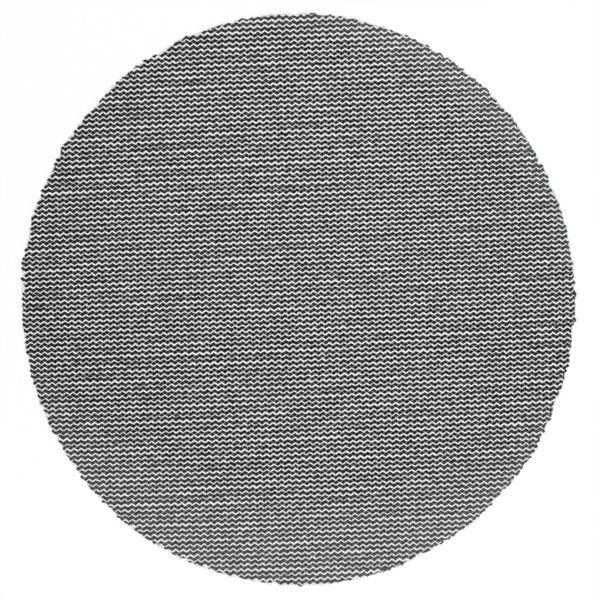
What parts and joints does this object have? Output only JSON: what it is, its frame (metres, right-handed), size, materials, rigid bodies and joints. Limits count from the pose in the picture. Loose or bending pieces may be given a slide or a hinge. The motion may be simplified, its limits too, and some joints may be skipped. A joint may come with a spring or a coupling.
{
  "type": "mesh sanding disc",
  "caption": "Flat round sanding disc of open knitted mesh: zigzag rows of dark grit-coated stitches joined by fine threads, gaps open right through, pale loop pile on the back.",
  "frame": {"origin": "centre of the disc on the plane of its grip side, the side that lies on the pad", "axes": "+Z out of the abrasive side, +X along the knitted rows, +Y across the rows"},
  "size_m": [0.1476, 0.152, 0.0011],
  "materials": {
    "grit_coating": "matt, rough with grit",
    "bare_yarn": "satin filament yarn"
  },
  "bodies": {
    "root": {"abrasive_mesh": "grit_coating"}
  },
  "joints": []
}
